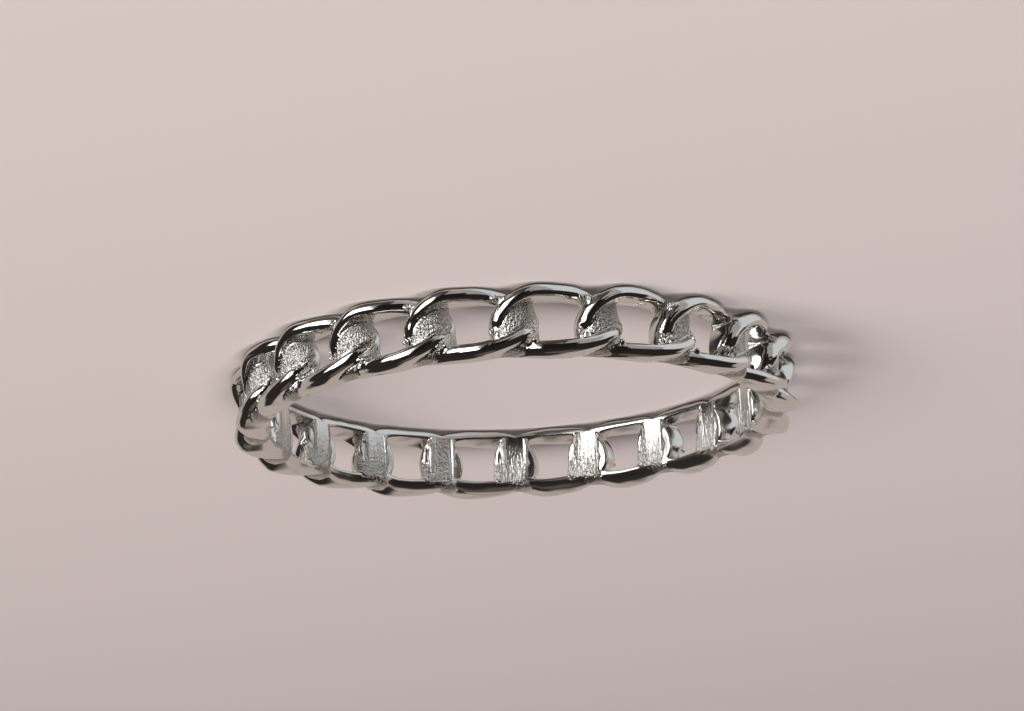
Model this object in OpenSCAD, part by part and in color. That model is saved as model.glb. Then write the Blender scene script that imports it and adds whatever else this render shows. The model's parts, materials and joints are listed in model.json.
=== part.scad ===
// Chain link ring: curb links of round-topped wire, cast in one piece with webs
// between them, lying on its side with its axis along Z. Lengths are millimetres.

/* [Ring] */
// Diameter of the finger hole
finger_d = 17.3; // [15:0.1:21]
// Wall from the finger hole to the crest of the wires
wall = 1.3; // [1.1:0.05:1.6]
// Width of the band, across the links
band_w = 2.5; // [2.3:0.05:3]
// Bevel that eases both rims of the finger hole
bevel = 0.3; // [0.2:0.05:0.5]

/* [Links] */
// Number of links round the ring
link_n = 20; // [18:1:22]
// Width of the wire at its round top
wire_w = 0.45; // [0.38:0.01:0.5]
// Width of the wire at the finger hole
foot_w = 0.38; // [0.32:0.02:0.46]
// Depth that a wire sinks where the next one crosses over it
dive = 0.44; // [0.34:0.02:0.5]

/* [Webs] */
// Depth of the webs below the crest of the wires
web_drop = 0.6; // [0.5:0.05:0.75]
// Length of a web round the ring, at its widest
web_l = 1.5; // [1.35:0.05:1.65]

/* [Placing] */
// Turn of the first link from the front of the ring, in degrees
first_turn = 4.5; // [0:0.1:18]

/* [Hidden] */
crest_r = finger_d / 2 + wall;
step_deg = 360 / link_n;
pitch = 2 * PI * crest_r / link_n;
// Middle lines of the two rails, the widest places of a link
rail_low = wire_w / 2;
rail_high = band_w - wire_w / 2;
// The wires reach into the finger hole before it is bored, deeper at a link's start
// than at its end, so that two links never share a face there
dig_start = 0.45;
dig_fall = 0.2;
// Steps of the curve between two knots, and of the round top of the wire
knot_steps = 2;
top_steps = 4;
// Webs overlap the high rail and stop short of the low one, where the end arc rounds the
// corner of the opening
rail_lap = 0.04;
corner_gap = 0.15;
bore_over = 1;
bore_fn = 120;

// Middle line of one link, a closed loop: along as a share of the pitch, across as a
// share of the way from the low rail to the high rail, sink as a share of the dive, and
// width as a share of the wire's
knots = [
    [0.045, 0.60, 0.00, 1.00], // first arc
    [0.095, 0.385, 0.00, 1.00],
    [0.23, 0.18, 0.00, 1.00],
    [0.44, 0.035, 0.00, 1.00],
    [0.70, 0.00, 0.00, 1.00],  // low rail
    [0.92, 0.025, 0.00, 1.00],
    [1.10, 0.10, 0.25, 1.00],  // dives under the next link's first arc
    [1.28, 0.23, 1.00, 1.18],
    [1.43, 0.385, 1.05, 1.25], // end arc, sunk and broad between the next link's wires
    [1.465, 0.56, 0.35, 1.00],
    [1.385, 0.73, 0.00, 1.00], // tip, over the next link
    [1.20, 0.88, 0.00, 1.00],
    [0.95, 0.97, 0.00, 1.00],
    [0.68, 1.00, 0.00, 1.00],  // high rail
    [0.44, 1.00, 0.45, 1.00],
    [0.21, 0.95, 1.10, 1.00],  // dives under the last link's tip
    [0.075, 0.80, 0.75, 1.00]
];

// Section of a web, along the ring as a share of its length and out as a share of its
// height: its free side bulges over the opening like a wire
web_section = [
    [0.00, 0.00],
    [0.82, 0.00],
    [0.94, 0.30],
    [1.00, 0.65],
    [0.96, 0.88],
    [0.84, 1.00],
    [0.40, 1.00],
    [0.00, 0.90]
];

// Webs start in the foot of their link's first arc
web_start = knots[0][0] * pitch + foot_w / 3;

knot_n = len(knots);
station_n = knot_n * knot_steps;

function knot(i) = knots[(i + knot_n) % knot_n];

// Point on the smooth closed curve through the knots, t counted in knots
function on_curve(t) =
    let (
        i = floor(t),
        f = t - i,
        a = knot(i - 1),
        b = knot(i),
        c = knot(i + 1),
        d = knot(i + 2)
    )
    (2 * b + (c - a) * f + (2 * a - 5 * b + 4 * c - d) * f ^ 2 + (3 * b - 3 * c + d - a) * f ^ 3) / 2;

// The same point as lengths along the crest circle and across the band, the sink, and
// the share of the wire's width
function station(i) =
    let (p = on_curve(((i + station_n) % station_n) / knot_steps))
    [p[0] * pitch, rail_low + p[1] * (rail_high - rail_low), p[2] * dive, p[3]];

// Unit vector across the wire at a station, along the ring and across the band
function sideways(i) =
    let (v = station(i + 1) - station(i - 1), l = sqrt(v[0] ^ 2 + v[1] ^ 2))
    [-v[1] / l, v[0] / l];

// Section of the wire: offset sideways and radius, over the round top and down to the foot
function section(along, sink, width) =
    let (top_r = width * wire_w / 2)
    concat(
        [for (j = [0:top_steps])
            let (a = 180 * j / top_steps)
            [-cos(a) * top_r, crest_r - sink - top_r + sin(a) * top_r]],
        [for (side = [1, -1])
            [side * width * foot_w / 2, finger_d / 2 - dig_start + dig_fall * along / pitch]]
    );
section_n = top_steps + 3;

// A point of the unrolled band, wound on to the ring
function wound(along, across, radius) =
    let (a = -along / pitch * step_deg)
    [radius * cos(a), radius * sin(a), across];

link_points = [
    for (i = [0:station_n - 1])
        let (p = station(i), n = sideways(i))
        for (q = section(p[0], p[2], p[3]))
            wound(p[0] + q[0] * n[0], p[1] + q[0] * n[1], q[1])
];

function corner(i, j) = (i % station_n) * section_n + j % section_n;

link_faces = [
    for (i = [0:station_n - 1], j = [0:section_n - 1])
        each [
            [corner(i, j), corner(i + 1, j), corner(i + 1, j + 1)],
            [corner(i, j), corner(i + 1, j + 1), corner(i, j + 1)]
        ]
];

module link() {
    polyhedron(points = link_points, faces = link_faces, convexity = 10);
}

module web() {
    foot_r = finger_d / 2 - dig_start - dig_fall;
    height = crest_r - web_drop - foot_r;
    outline = [
        for (p = web_section)
            let (q = wound(web_start + p[0] * web_l, 0, foot_r + p[1] * height))
            [q[0], q[1]]
    ];
    translate([0, 0, wire_w + corner_gap])
        linear_extrude(height = band_w - 2 * wire_w - corner_gap + rail_lap)
            polygon(outline);
}

// The bored hole, opened at both rims by the bevel
module finger_hole() {
    translate([0, 0, -bore_over])
        cylinder(d = finger_d, h = band_w + 2 * bore_over, $fn = bore_fn);
    for (top = [0, 1])
        translate([0, 0, top * band_w])
            mirror([0, 0, top])
                translate([0, 0, -bore_over])
                    cylinder(
                        r1 = finger_d / 2 + bevel + bore_over,
                        r2 = finger_d / 2 - bore_over,
                        h = bevel + 2 * bore_over,
                        $fn = bore_fn
                    );
}

module link_band() {
    color("silver")
        difference() {
            for (k = [0:link_n - 1])
                rotate([0, 0, first_turn - 90 - k * step_deg]) {
                    link();
                    web();
                }
            finger_hole();
        }
}

link_band();
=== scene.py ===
import json
import math

import bpy
import numpy as np
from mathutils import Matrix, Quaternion, Vector


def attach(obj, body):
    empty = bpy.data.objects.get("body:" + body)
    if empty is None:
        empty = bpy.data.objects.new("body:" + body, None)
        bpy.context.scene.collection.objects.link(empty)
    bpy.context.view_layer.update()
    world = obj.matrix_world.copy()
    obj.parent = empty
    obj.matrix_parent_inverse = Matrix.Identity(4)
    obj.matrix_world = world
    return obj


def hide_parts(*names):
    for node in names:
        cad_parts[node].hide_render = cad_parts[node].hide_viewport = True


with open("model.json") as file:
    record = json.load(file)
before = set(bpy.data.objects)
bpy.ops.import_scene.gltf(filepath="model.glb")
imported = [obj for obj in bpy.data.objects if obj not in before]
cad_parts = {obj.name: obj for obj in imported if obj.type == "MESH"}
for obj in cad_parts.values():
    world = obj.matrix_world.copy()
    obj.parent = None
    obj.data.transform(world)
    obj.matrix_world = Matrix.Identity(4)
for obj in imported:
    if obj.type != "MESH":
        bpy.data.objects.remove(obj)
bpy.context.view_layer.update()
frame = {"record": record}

mm = 0.001   # the scene is in metres, the sizes below are in millimetres


def linear(hexColour):
    # sRGB hex to the linear colour that the shaders take
    parts = [int(hexColour[i:i + 2], 16) / 255 for i in (1, 3, 5)]
    return [c / 12.92 if c <= 0.04045 else ((c + 0.055) / 1.055) ** 2.4 for c in parts] + [1.0]


def addNode(tree, kind, settings=None, links=None):
    # settings go to the node or to its sockets, links are (input, output socket) pairs
    node = tree.nodes.new(kind)
    for name, value in (settings or {}).items():
        if isinstance(name, int) or name in node.inputs:
            node.inputs[name].default_value = value
        else:
            setattr(node, name, value)
    for name, output in (links or {}).items():
        tree.links.new(output, node.inputs[name])
    return node


def smoothMin(a, b, radius):
    h = np.maximum(radius - np.abs(a - b), 0) / radius
    return np.minimum(a, b) - h * h * radius / 4


def smoothMax(a, b, radius):
    return -smoothMin(-a, -b, radius)


# The band, in millimetres
band = {
    "boreRadius": frame["record"]["mounts"][0]["dims"]["r_mm"],
    "wall": 1.3,
    "width": 2.5,
    "rimBevel": 0.3,
    "links": 20,
    "firstTurn": 4.5,      # degrees from the front to the first link
    "wireWidth": 0.52,
    "footWidth": 0.36,     # the wire at the finger hole
    "sidePower": 1.5,      # 1 narrows it evenly down to there, more keeps it wide for longer
    "domeHeight": 0.31,    # from the crest down to where the wire is widest
    "domePower": 2.1,      # 2 is a plain oval, more is flatter on top
    "wireFillet": 0.035,   # metal run into the corner where two wires cross
    "webFillet": 0.12,     # and where a web meets them
    "beadFillet": 0.07,    # and round a bead of solder
    "edgeEase": 0.10,      # worn edges round the finger hole
    "fineCell": 0.055,     # first mesh, before the flat parts are thinned out
    # where its grid starts and ends, in cells from the rims and from the finger hole and the
    # crest. This start leaves no edge with more than two faces
    "gridStart": (-3.2, -2.7),
    "gridEnd": (3, 3.5),
    "triangles": 190000,
}
crestRadius = band["boreRadius"] + band["wall"]
pitch = 2 * math.pi * crestRadius / band["links"]
railLow = band["wireWidth"] / 2
railHigh = band["width"] - band["wireWidth"] / 2

# Middle line of one link: along as a share of the pitch, across as a share of the way
# between the rails, how far the crest sinks in mm, width as a share of the wire's, and how
# much the wire leans: how much higher its inner side stands, in mm per mm.
# Both rails arch, so each link catches the light on its own
linkKnots = [
    (0.045, 0.58, 0.32, 1.00, 0.45),   # first arc
    (0.095, 0.37, 0.20, 1.00, 0.50),
    (0.23, 0.175, 0.06, 1.00, 0.50),
    (0.44, 0.03, 0.00, 1.00, 0.40),
    (0.70, 0.004, 0.15, 1.00, 0.30),   # low rail
    (0.92, 0.01, 0.38, 1.00, 0.20),
    (1.10, 0.06, 0.64, 1.00, 0.10),    # dives under the next link's first arc
    (1.28, 0.20, 0.88, 1.10, 0.00),
    (1.43, 0.37, 0.92, 1.10, 0.00),    # end arc, drowned in the next link's web
    (1.465, 0.54, 0.64, 1.00, -0.10),
    (1.385, 0.70, 0.27, 1.00, -0.15),  # tip, over the next link
    (1.20, 0.87, 0.07, 1.00, -0.15),
    (0.95, 0.985, 0.02, 1.00, -0.05),
    (0.68, 0.998, 0.17, 1.00, 0.00),   # high rail
    (0.44, 0.97, 0.42, 1.00, 0.00),
    (0.21, 0.90, 0.84, 1.00, 0.10),    # dives under the last link's tip
    (0.075, 0.76, 0.64, 1.00, 0.25),
]


def middleLine(steps):
    # smooth closed curve through the knots: along, across and sink in mm, width share, lean
    b = np.array(linkKnots)[:, None]
    a, c, d = np.roll(b, 1, 0), np.roll(b, -1, 0), np.roll(b, -2, 0)
    f = (np.arange(steps) / steps)[None, :, None]
    p = 2 * b + (c - a) * f + (2 * a - 5 * b + 4 * c - d) * f ** 2
    p = ((p + (3 * b - 3 * c + d - a) * f ** 3) / 2).reshape(-1, 5)
    return np.c_[p[:, 0] * pitch, railLow + p[:, 1] * (railHigh - railLow), p[:, 2:]]


wireLine = middleLine(steps=8)


def nearestOnLink(along, across, shift):
    # plan distance to the link's middle line, with the sink and width share there. The lean
    # is taken off the sink
    starts = wireLine + [shift, 0, 0, 0, 0]
    distance = np.full(np.shape(along), 1e9)
    sink, width = np.zeros_like(distance), np.ones_like(distance)
    for p, q in zip(starts, np.roll(starts, -1, 0)):
        ex, ey = q[0] - p[0], q[1] - p[1]
        t = np.clip(((along - p[0]) * ex + (across - p[1]) * ey) / (ex * ex + ey * ey), 0, 1)
        d = (along - p[0] - t * ex) ** 2 + (across - p[1] - t * ey) ** 2
        near = d < distance
        distance = np.where(near, d, distance)
        inward = (ex * (across - p[1]) - ey * (along - p[0])) / math.hypot(ex, ey)
        lean = (p[4] + t * (q[4] - p[4])) * np.clip(inward, -band["wireWidth"], band["wireWidth"])
        sink = np.where(near, p[2] + t * (q[2] - p[2]) - lean, sink)
        width = np.where(near, p[3] + t * (q[3] - p[3]), width)
    return np.sqrt(distance), sink, width


def wireField(nearest, radius):
    # oval top over sides that narrow to the finger hole
    distance, sink, width = nearest
    half = width * band["wireWidth"] / 2
    foot = width * band["footWidth"] / 2
    centre = crestRadius - sink - band["domeHeight"]
    depth = np.clip((centre - radius) / (centre - band["boreRadius"]), 0, 1)
    side = half - (half - foot) * depth ** band["sidePower"]
    power = band["domePower"]
    over = np.maximum(radius - centre, 0) / band["domeHeight"]
    dome = (((distance / half) ** power + over ** power) ** (1 / power) - 1) * half
    return np.where(radius > centre, dome, distance - side)


# A web fills the first half of each link's eye, in millimetres. It is crowned like a
# cushion and ends in a rounded lip over the opening
web = {
    "start": linkKnots[0][0] * pitch + band["footWidth"] / 3,
    "length": 1.52,
    "drop": 0.27,         # its crown below the crest, at the low rail
    "tilt": 0.16,         # and how much lower at the high one
    "crown": 0.22,        # place of the crown as a share of its length
    "fall": 1.05,         # how fast it falls away from there
    "lowEdge": 0.40,      # its edges across the band, inside the rails
    "highEdge": 2.32,
    "slant": 0.20,        # share of its length that it is shorter at the low rail
    "freeSide": 0.90,     # share of its length where the lip meets the finger hole
    "bulge": 0.10,        # and how much the lip swells over the opening
    "swell": 0.9,         # the swell follows a sine up to this share of a half turn
    "rounding": 0.24,
}


def webField(along, across, radius):
    # the shares run a little past both ends, so that no crease falls inside the rounding
    share = (along - web["start"]) / web["length"]
    fromHigh = np.clip((web["highEdge"] - across) / (web["highEdge"] - web["lowEdge"]), 0, 1)
    top = crestRadius - web["drop"] - web["tilt"] * (1 - fromHigh)
    top = top - web["fall"] * (np.clip(share, 0, 1.1) - web["crown"]) ** 2
    height = np.clip((radius - band["boreRadius"]) / (top - band["boreRadius"]), -0.2, 1.2)
    free = web["freeSide"] + web["bulge"] * np.sin(height * math.pi * web["swell"])
    free = free - web["slant"] * fromHigh ** 2
    inside = np.minimum(web["start"] + web["length"] * free - along, along - web["start"])
    inside = np.minimum(inside, across - web["lowEdge"])
    inside = np.minimum(inside, web["highEdge"] - across)
    return smoothMax(-inside, radius - top, web["rounding"])


# Beads of solder where the wires cross: along as a share of the pitch, across, depth
# below the crest and radius in mm
beads = [
    (1.03, 0.44, 0.53, 0.08),    # low rail's end, outside the next arc
    (1.00, 1.62, 0.50, 0.085),   # arc's foot, above the high rail
    (1.10, 1.73, 0.44, 0.06),
    (1.475, 1.96, 0.44, 0.10),   # under the tip, at the next high rail
]
beadReach = 0.6   # mm past either end of the pitch where a bead can still be felt


def beadField(along, across, radius):
    field = np.full(np.broadcast(along, across, radius).shape, 1e9)
    for place, y, deep, size in beads:
        for shift in (-2, -1, 0, 1):
            x = (place + shift) * pitch
            if -beadReach < x < pitch + beadReach:
                away = (along - x) ** 2 + (across - y) ** 2 + (radius - crestRadius + deep) ** 2
                field = np.minimum(field, np.sqrt(away) - size)
    return field


def castField(along, across, radius, nearest=None):
    # below zero inside the metal; second result is below zero where a web shows
    nearest = nearest or [nearestOnLink(along, across, k * pitch) for k in (-1, 0, 1)]
    field = wireField(nearest[0], radius)
    for other in nearest[1:]:
        field = smoothMin(field, wireField(other, radius), band["wireFillet"])
    webs = np.minimum(webField(along, across, radius), webField(along + pitch, across, radius))
    webShows = webs - field
    field = smoothMin(field, webs, band["webFillet"])
    field = smoothMin(field, beadField(along, across, radius), band["beadFillet"])
    field = smoothMax(field, band["boreRadius"] - radius, band["edgeEase"])
    for fromRim in (across, band["width"] - across):
        cut = (band["boreRadius"] + band["rimBevel"] - fromRim - radius) / math.sqrt(2)
        field = smoothMax(field, cut, band["edgeEase"])
    return field, webShows


def slope(points, reach=0.004):
    # gradient of the field from four points round each place
    total = np.zeros_like(points)
    for way in ((1, 1, 1), (1, -1, -1), (-1, 1, -1), (-1, -1, 1)):
        total += castField(*(points + np.array(way) * reach).T)[0][:, None] * np.array(way)
    return total / (4 * reach)


def netOverOnePitch(cell):
    # one vertex in each cell that the surface crosses, one face round each crossed edge
    count = round(pitch / cell)
    size = np.array([pitch / count, cell, cell])
    start, end = band["gridStart"], band["gridEnd"]
    low = np.array([0, start[0] * cell, band["boreRadius"] + start[1] * cell])
    across = np.arange(low[1], band["width"] + end[0] * cell, cell)
    radius = np.arange(low[2], crestRadius + end[1] * cell, cell)
    x, y = np.meshgrid(np.arange(count) * size[0], across, indexing="ij")
    nearest = [tuple(a[..., None] for a in nearestOnLink(x, y, k * pitch)) for k in (-1, 0, 1)]
    field = castField(x[..., None], y[..., None], radius[None, None], nearest)[0]
    field = np.concatenate([field, field[:1]])   # the next pitch starts as this one does
    cells = np.array(field.shape) - 1
    total, places = np.zeros(cells), np.zeros((*cells, 3))
    for corner in np.ndindex(2, 2, 2):
        for axis in range(3):
            if corner[axis]:
                continue
            other = np.array(corner) + np.eye(3, dtype=int)[axis]
            a, b = (
                field[tuple(slice(o, n + o) for o, n in zip(c, cells))] for c in (corner, other))
            crossed = (a < 0) != (b < 0)
            share = np.where(crossed, a / np.where(crossed, a - b, 1), 0)
            total += crossed
            places += (np.array(corner) + share[..., None] * np.eye(3)[axis]) * crossed[..., None]
    used = total > 0
    number = np.full(cells, -1)
    number[used] = np.arange(used.sum())
    points = (np.argwhere(used) + places[used] / total[used][:, None]) * size + low
    faces, pitches = [], []
    for axis in range(3):
        u, v = (axis + 1) % 3, (axis + 2) % 3
        a = np.take(field, range(cells[axis]), axis)
        b = np.take(field, range(1, cells[axis] + 1), axis)
        crossed = (a < 0) != (b < 0)
        if axis:
            crossed[-1] = False
        edges = np.argwhere(crossed)
        ring = []
        for du, dv in ((0, 0), (1, 0), (1, 1), (0, 1)):
            at = edges.copy()
            at[:, u] -= du
            at[:, v] -= dv
            back = at[:, 0] < 0
            at[:, 0] %= cells[0]
            ring.append((number[tuple(at.T)], -back.astype(int)))
        quad = np.stack([r[0] for r in ring], 1)
        turn = np.stack([r[1] for r in ring], 1)
        outward = a[crossed] < 0
        quad[outward], turn[outward] = quad[outward][:, ::-1], turn[outward][:, ::-1]
        faces.append(quad)
        pitches.append(turn)
    return points, np.concatenate(faces), np.concatenate(pitches)


def settle(points, rounds, most=0.02, flattest=0.2):
    # moves each point on to the surface, by so many mm at most in one round
    for _ in range(rounds):
        value, way = castField(*points.T)[0], slope(points)
        move = -(value / np.maximum((way ** 2).sum(1), flattest))[:, None] * way
        length = np.linalg.norm(move, axis=1)
        points = points + move * np.minimum(1, most / np.maximum(length, 1e-9))[:, None]
    return points


linkStep = 2 * math.pi / band["links"]
firstAngle = math.radians(band["firstTurn"] - 90)


def ringAngle(points, link):
    return firstAngle - (link + points[:, 0] / pitch) * linkStep


def wind(points, link):
    # unrolled band on to the ring
    angle = ringAngle(points, link)
    return np.c_[points[:, 2] * np.cos(angle), points[:, 2] * np.sin(angle), points[:, 1]]


def unwind(places):
    # ring to the unrolled band: places within one pitch, and the link's number
    angle = firstAngle - np.arctan2(places[:, 1], places[:, 0])
    turns = (angle / linkStep) % band["links"]
    link = np.floor(turns)
    return np.c_[(turns - link) * pitch, places[:, 2], np.hypot(places[:, 0], places[:, 1])], link


def windNormals(points, way, link):
    # gradients on the unrolled band to unit normals on the ring
    angle = ringAngle(points, link)
    c, s = np.cos(angle), np.sin(angle)
    turned = way[:, 0] * crestRadius / points[:, 2]
    normal = np.c_[turned * s + way[:, 2] * c, way[:, 2] * s - turned * c, way[:, 1]]
    return normal / np.linalg.norm(normal, axis=1)[:, None]


# Hand finishing: no two links come out quite alike. Slow waves over the whole ring, in mm
finishing = {"waves": 40, "height": 0.007, "shortest": 0.5, "longest": 1.6, "seed": 7}


def handWaves(places):
    # height of the waves in mm, and its slope
    draw = np.random.default_rng(finishing["seed"])
    way = draw.normal(size=(finishing["waves"], 3))
    way /= np.linalg.norm(way, axis=1)[:, None]
    long = draw.uniform(finishing["shortest"], finishing["longest"], finishing["waves"])
    phase = draw.uniform(0, 2 * math.pi, finishing["waves"])
    size = finishing["height"] * long / long.mean() * math.sqrt(2 / finishing["waves"])
    turn = places @ (way * 2 * math.pi / long[:, None]).T + phase
    return np.sin(turn) @ size, (np.cos(turn) * size * 2 * math.pi / long) @ way


def thinOut(places, faces):
    # keeps small faces only where the surface bends
    mesh = bpy.data.meshes.new("fineBand")
    mesh.from_pydata(places.tolist(), [], faces.tolist())
    piece = bpy.data.objects.new("fineBand", mesh)
    bpy.context.scene.collection.objects.link(piece)
    thin = piece.modifiers.new("thin", "DECIMATE")
    thin.ratio = band["triangles"] / (2 * len(faces))
    thinned = piece.evaluated_get(bpy.context.evaluated_depsgraph_get()).to_mesh()
    corners = np.empty(len(thinned.vertices) * 3)
    thinned.vertices.foreach_get("co", corners)
    triangles = [tuple(f.vertices) for f in thinned.polygons]
    bpy.data.objects.remove(piece)
    bpy.data.meshes.remove(mesh)
    return corners.reshape(-1, 3), triangles


# Where each finish begins and over how much it fades in, in mm
finishes = {
    "web": (-0.05, 0.10),       # outside the web's own surface, where it runs into a wire
    "casting": (0.16, 0.08),    # below the crest, where the polishing wheel stops reaching
    "tumbling": (0.70, 0.25),   # below the crest, where only the steel shot reaches
}


def fadeIn(value, finish):
    begin, over = finishes[finish]
    return np.clip((value - begin) / over, 0, 1)


def buildBand():
    points, quads, pitches = netOverOnePitch(band["fineCell"])
    points = settle(points, rounds=2)
    places = np.concatenate([wind(points, link) for link in range(band["links"])])
    faces = np.concatenate([
        quads + (link + pitches) % band["links"] * len(points) for link in range(band["links"])])
    print("band: fine mesh,", 2 * len(faces), "triangles")
    places, faces = thinOut(places, faces)
    points, link = unwind(places)
    points = settle(points, rounds=1)
    way = slope(points)
    webShows = castField(*points.T)[1]
    places = wind(points, link)
    normals = windNormals(points, way, link)
    height, lean = handWaves(places)
    places = places + normals * height[:, None]
    normals = normals - lean + normals * (lean * normals).sum(1)[:, None]
    mesh = bpy.data.meshes.new("linkBand")
    mesh.from_pydata((places * mm).tolist(), [], faces)
    depth = crestRadius - points[:, 2]
    skin = fadeIn(-webShows, "web") * fadeIn(depth, "casting")
    mesh.attributes.new("castSkin", "FLOAT", "POINT").data.foreach_set("value", skin)
    tumbled = fadeIn(depth, "tumbling")
    mesh.attributes.new("tumbled", "FLOAT", "POINT").data.foreach_set("value", tumbled)
    plan = points + np.c_[link * pitch, 0 * link, 0 * link]
    mesh.attributes.new("plan", "FLOAT_VECTOR", "POINT").data.foreach_set("vector", plan.ravel())
    mesh.shade_smooth()
    mesh.normals_split_custom_set_from_vertices(normals.tolist())
    piece = bpy.data.objects.new("linkBand", mesh)
    bpy.context.scene.collection.objects.link(piece)
    print("band:", len(mesh.vertices), "points,", len(mesh.polygons), "faces")
    return piece


# Sterling silver, lost-wax cast and then hand polished: the wires mirror the room, while
# the webs keep the grainy white skin of the casting that no wheel reaches. The finger hole
# and the feet of the wires are only tumbled with steel shot, so they gleam more softly
silver = {
    "polished": "#f3f1ed",
    "asCast": "#e6e2dc",
    "polishedRoughness": 0.045,
    "tumbledRoughness": 0.20,
    "asCastRoughness": 0.25,
    "grain": 0.10,            # mm, print of the plaster mould, drawn coarse so that it shows
    "fileMark": 0.07,         # mm between the marks that the file leaves across a web
    "fileMarkShape": 0.16,    # their width over their length
    "webRelief": 0.075,       # mm, depth of the grain and the file marks
    "ripple": 0.9,            # mm, slow waves that the polishing wheel leaves
    "rippleDepth": 0.02,      # mm
    "rippleStrength": 0.10,
    "hairline": 0.12,         # mm between the scratches of wear, drawn coarse so that they show
    "hairlineShape": 0.12,    # their width over their length
    "hairlineDepth": 0.004,   # mm
    "hairlineStrength": 0.25,
}


def sterlingSilver():
    material = bpy.data.materials.new("polishedCastSterlingSilver")
    material.use_nodes = True
    tree = material.node_tree
    shader = tree.nodes["Principled BSDF"]
    skin = addNode(tree, "ShaderNodeAttribute", {"attribute_name": "castSkin"}).outputs["Fac"]
    plan = addNode(tree, "ShaderNodeAttribute", {"attribute_name": "plan"}).outputs["Vector"]
    colour = addNode(tree, "ShaderNodeMix", {
        "data_type": "RGBA", 6: linear(silver["polished"]), 7: linear(silver["asCast"])}, {0: skin})
    tumbled = addNode(tree, "ShaderNodeAttribute", {"attribute_name": "tumbled"}).outputs["Fac"]
    smooth = addNode(tree, "ShaderNodeMapRange", {
        "To Min": silver["polishedRoughness"],
        "To Max": silver["tumbledRoughness"]}, {"Value": tumbled})
    rough = addNode(tree, "ShaderNodeMapRange", {"To Max": silver["asCastRoughness"]}, {
        "Value": skin, "To Min": smooth.outputs[0]})
    grain = addNode(tree, "ShaderNodeTexNoise", {
        "Scale": 1 / silver["grain"], "Detail": 3.0}, {"Vector": plan})
    ripple = addNode(tree, "ShaderNodeTexNoise", {
        "Scale": 1 / silver["ripple"], "Detail": 1.0}, {"Vector": plan})
    waves = addNode(tree, "ShaderNodeBump", {
        "Strength": silver["rippleStrength"],
        "Distance": silver["rippleDepth"] * mm}, {"Height": ripple.outputs["Fac"]})
    # worn along the band, so the scratches run round the ring
    worn = addNode(tree, "ShaderNodeMapping", {
        "Scale": (silver["hairlineShape"], 1.0, 1.0)}, {"Vector": plan})
    hairlines = addNode(tree, "ShaderNodeTexNoise", {
        "Scale": 1 / silver["hairline"], "Detail": 1.0}, {"Vector": worn.outputs[0]})
    scratched = addNode(tree, "ShaderNodeBump", {
        "Strength": silver["hairlineStrength"], "Distance": silver["hairlineDepth"] * mm}, {
        "Height": hairlines.outputs["Fac"], "Normal": waves.outputs[0]})
    # and filed across it
    filed = addNode(tree, "ShaderNodeMapping", {
        "Scale": (1.0, silver["fileMarkShape"], 1.0)}, {"Vector": plan})
    marks = addNode(tree, "ShaderNodeTexNoise", {
        "Scale": 1 / silver["fileMark"], "Detail": 2.0}, {"Vector": filed.outputs[0]})
    rubbed = addNode(tree, "ShaderNodeMath", {"operation": "ADD"}, {
        0: grain.outputs["Fac"], 1: marks.outputs["Fac"]})
    grained = addNode(tree, "ShaderNodeMath", {"operation": "MULTIPLY"}, {
        0: rubbed.outputs[0], 1: skin})
    bump = addNode(tree, "ShaderNodeBump", {
        "Strength": 1.0, "Distance": silver["webRelief"] * mm}, {
        "Height": grained.outputs[0], "Normal": scratched.outputs[0]})
    shader.inputs["Metallic"].default_value = 1.0
    tree.links.new(colour.outputs[2], shader.inputs["Base Color"])
    tree.links.new(rough.outputs[0], shader.inputs["Roughness"])
    tree.links.new(bump.outputs[0], shader.inputs["Normal"])
    return material


# Floor: a wide sheet of uncoated paper that curves up all round, so it fills every view. Its
# open fibres give no gloss, only the soft shadows
floor = {
    "flat": 0.30,        # metres from the middle to where it starts to rise
    "curve": 0.45,       # metres, radius of the rise
    "steepest": 75,      # degrees at its edge
    "steps": 12,
    "sides": 96,
    "colour": "#a69d9a",
    "roughness": 0.9,
    "gloss": 0.1,
}


def buildFloor():
    profile = [(0, 0), (floor["flat"], 0)]
    curve, sides = floor["curve"], floor["sides"]
    for i in range(1, floor["steps"] + 1):
        turn = math.radians(i * floor["steepest"] / floor["steps"])
        profile.append((floor["flat"] + curve * math.sin(turn), curve * (1 - math.cos(turn))))
    places = [(0, 0, 0)]
    for r, z in profile[1:]:
        for k in range(sides):
            angle = 2 * math.pi * k / sides
            places.append((r * math.cos(angle), r * math.sin(angle), z))
    faces = [(0, 1 + k, 1 + (k + 1) % sides) for k in range(sides)]
    for row in range(len(profile) - 2):
        for k in range(sides):
            a, b = 1 + row * sides + k, 1 + row * sides + (k + 1) % sides
            faces.append((a, a + sides, b + sides, b))
    mesh = bpy.data.meshes.new("floor")
    mesh.from_pydata(places, [], faces)
    mesh.shade_smooth()
    sheet = bpy.data.objects.new("floor", mesh)
    bpy.context.scene.collection.objects.link(sheet)
    # the polished metal mirrors the studio round it, and not this sheet
    sheet.visible_glossy = False
    sheet.visible_shadow = False
    material = bpy.data.materials.new("uncoatedPaper")
    material.use_nodes = True
    shader = material.node_tree.nodes["Principled BSDF"]
    shader.inputs["Base Color"].default_value = linear(floor["colour"])
    shader.inputs["Roughness"].default_value = floor["roughness"]
    shader.inputs["Specular IOR Level"].default_value = floor["gloss"]
    mesh.materials.append(material)
    return sheet


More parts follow.
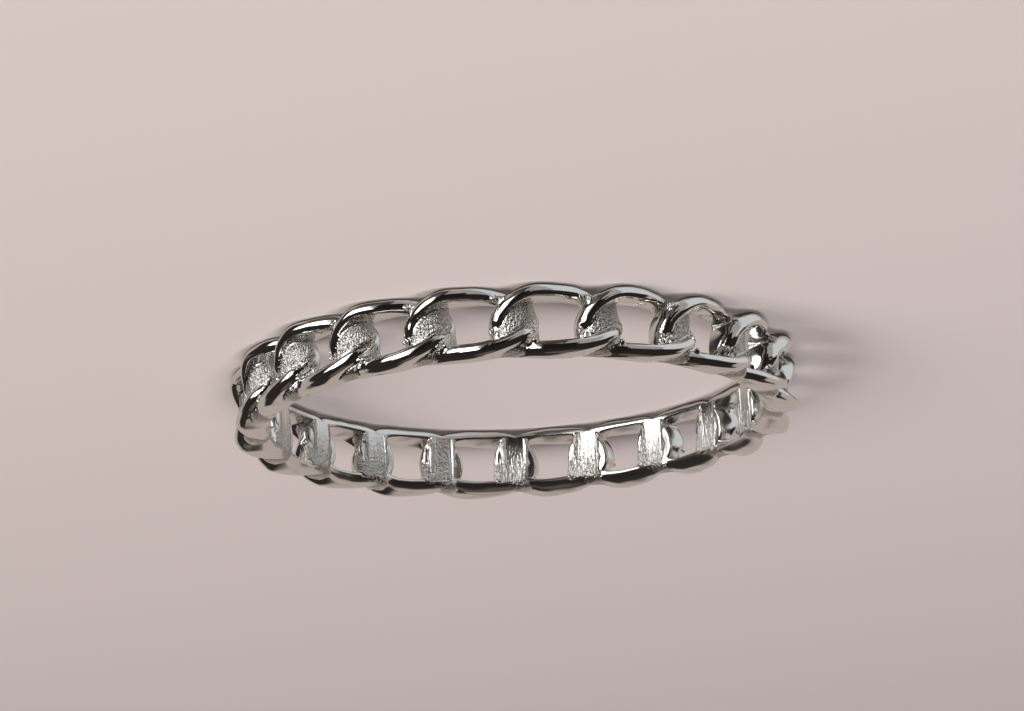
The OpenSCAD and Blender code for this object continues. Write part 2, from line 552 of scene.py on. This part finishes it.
# The studio that the metal mirrors. Angles are degrees: azimuth 0 is the front, where the
# camera stands, and 90 is +X; elevation is above the horizon
studio = {
    "walls": "#b0a59f",
    "panels": [
        # azimuth, elevation, half width, half height, softness, colour, strength
        (-88, -48, 40, 34, 5, "#c8cdd1", 1.0),      # blue-grey panel on the right
        (-34, -55, 18, 33, 6, "#9a9899", 1.0),      # and its shaded end
        (-6, -66, 14, 28, 6, "#9d9692", 1.0),       # table edge in front
        (60, -51, 36, 8, 5, "#625d5a", 1.0),        # and on the left, under the window
        (70, -75, 60, 17, 5, "#4a4644", 1.0),
        (17, -50, 9, 30, 4, "#383432", 1.0),
        (180, -44, 32, 22, 6, "#3a3533", 1.0),      # dark strip low at the back
        (0, 90, 400, 25, 6, "#3a3634", 1.0),        # dim ceiling
        (27, 62, 153, 36, 6, "#2c2927", 1.0),       # that comes lower on the left
        (8, 32, 104, 44, 5, "#262322", 1.0),        # dark room behind the camera
        (-31, 0, 19, 18, 5, "#262322", 1.0),
        (5, -6, 20, 37, 4, "#1d1a19", 1.0),         # dark gap beside the window
        (88, -8, 26, 44, 6, "#2c2927", 1.0),        # dark left wall
        (0, 90, 400, 15, 5, "#5e544d", 1.0),        # brownish light right overhead
        (41, -2, 12, 10, 4, "#ffffff", 4.0),        # window on the left
        (55, -24, 19, 17, 4, "#ffffff", 4.0),       # and its sill
    ],
}


def buildStudio():
    world = bpy.data.worlds.new("studio")
    bpy.context.scene.world = world
    world.use_nodes = True
    tree = world.node_tree
    way = addNode(tree, "ShaderNodeTexCoord").outputs["Generated"]
    parts = addNode(tree, "ShaderNodeSeparateXYZ", None, {0: way}).outputs
    front = addNode(tree, "ShaderNodeMath", {
        "operation": "MULTIPLY", 1: -1.0}, {0: parts[1]}).outputs[0]
    azimuth = addNode(tree, "ShaderNodeMath", {
        "operation": "ARCTAN2"}, {0: parts[0], 1: front}).outputs[0]
    elevation = addNode(tree, "ShaderNodeMath", {
        "operation": "ARCSINE"}, {0: parts[2]}).outputs[0]
    light = None
    for az, el, wide, high, soft, colour, strength in studio["panels"]:
        inside = None
        for angle, middle, half in ((azimuth, az, wide), (elevation, el, high)):
            off = addNode(tree, "ShaderNodeMath", {
                "operation": "SUBTRACT", 1: math.radians(middle)}, {0: angle}).outputs[0]
            near = addNode(tree, "ShaderNodeMath", {
                "operation": "WRAP", 1: math.pi, 2: -math.pi}, {0: off}).outputs[0]
            far = addNode(tree, "ShaderNodeMath", {"operation": "ABSOLUTE"}, {0: near}).outputs[0]
            edge = addNode(tree, "ShaderNodeMapRange", {
                "interpolation_type": "SMOOTHSTEP",
                "From Min": math.radians(half - soft), "From Max": math.radians(half + soft),
                "To Min": 1.0, "To Max": 0.0}, {"Value": far}).outputs[0]
            inside = edge if inside is None else addNode(
                tree, "ShaderNodeMath", {"operation": "MULTIPLY"}, {0: inside, 1: edge}).outputs[0]
        # the first panel hangs before the plain walls, the others before those already there
        light = addNode(tree, "ShaderNodeMix", {
            "data_type": "RGBA",
            6: linear(studio["walls"]),
            7: [c * strength for c in linear(colour)]},
            {0: inside} if light is None else {0: inside, 6: light}).outputs[2]
    tree.links.new(light, tree.nodes["Background"].inputs["Color"])


# Soft lights on the floor: azimuth, elevation, distance and side in metres, watts, colour
softLights = {
    "leftLight": (52, 25, 0.48, 0.24, 3.50, "#fff6ee"),
    "frontLight": (-6, 42, 0.60, 0.34, 5.20, "#fbfaff"),
}


def buildLights():
    for name, (az, el, distance, side, watts, colour) in softLights.items():
        a, e = math.radians(az), math.radians(el)
        way = Vector((math.sin(a) * math.cos(e), -math.cos(a) * math.cos(e), math.sin(e)))
        lamp = bpy.data.lights.new(name, "AREA")
        lamp.size = side
        lamp.energy = watts
        lamp.color = linear(colour)[:3]
        light = bpy.data.objects.new(name, lamp)
        light.location = way * distance
        light.rotation_mode = "QUATERNION"
        light.rotation_quaternion = way.to_track_quat("Z", "Y")
        light.visible_glossy = False
        bpy.context.scene.collection.objects.link(light)


# The camera looks a little down on the ring from the front and is turned nearly upside
# down, so that the near arc of links is at the top of the picture
view = {
    "aim": (0.033, -0.405, -0.157),   # mm
    "distance": 147.82,               # mm
    "azimuth": 0.42,
    "elevation": 16.06,
    "roll": 177.2,
    "lens": 147.76,
    "clip": (0.01, 10),               # metres
}


def buildCamera():
    a, e = math.radians(view["azimuth"]), math.radians(view["elevation"])
    back = Vector((math.sin(a) * math.cos(e), -math.cos(a) * math.cos(e), math.sin(e)))
    data = bpy.data.cameras.new("camera")
    data.lens = view["lens"]
    data.clip_start, data.clip_end = view["clip"]
    camera = bpy.data.objects.new("camera", data)
    camera.location = Vector(view["aim"]) * mm + back * view["distance"] * mm
    camera.rotation_mode = "QUATERNION"
    roll = Quaternion((0, 0, 1), math.radians(view["roll"]))
    camera.rotation_quaternion = back.to_track_quat("Z", "Y") @ roll
    bpy.context.scene.collection.objects.link(camera)
    bpy.context.scene.camera = camera


linkBand = buildBand()
linkBand.data.materials.append(sterlingSilver())
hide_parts("link_band")
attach(linkBand, "root")
print("band dressed in silver")

buildFloor()
buildStudio()
buildLights()
buildCamera()
bpy.context.scene.view_settings.view_transform = "Standard"
print("stage, lights and camera set")
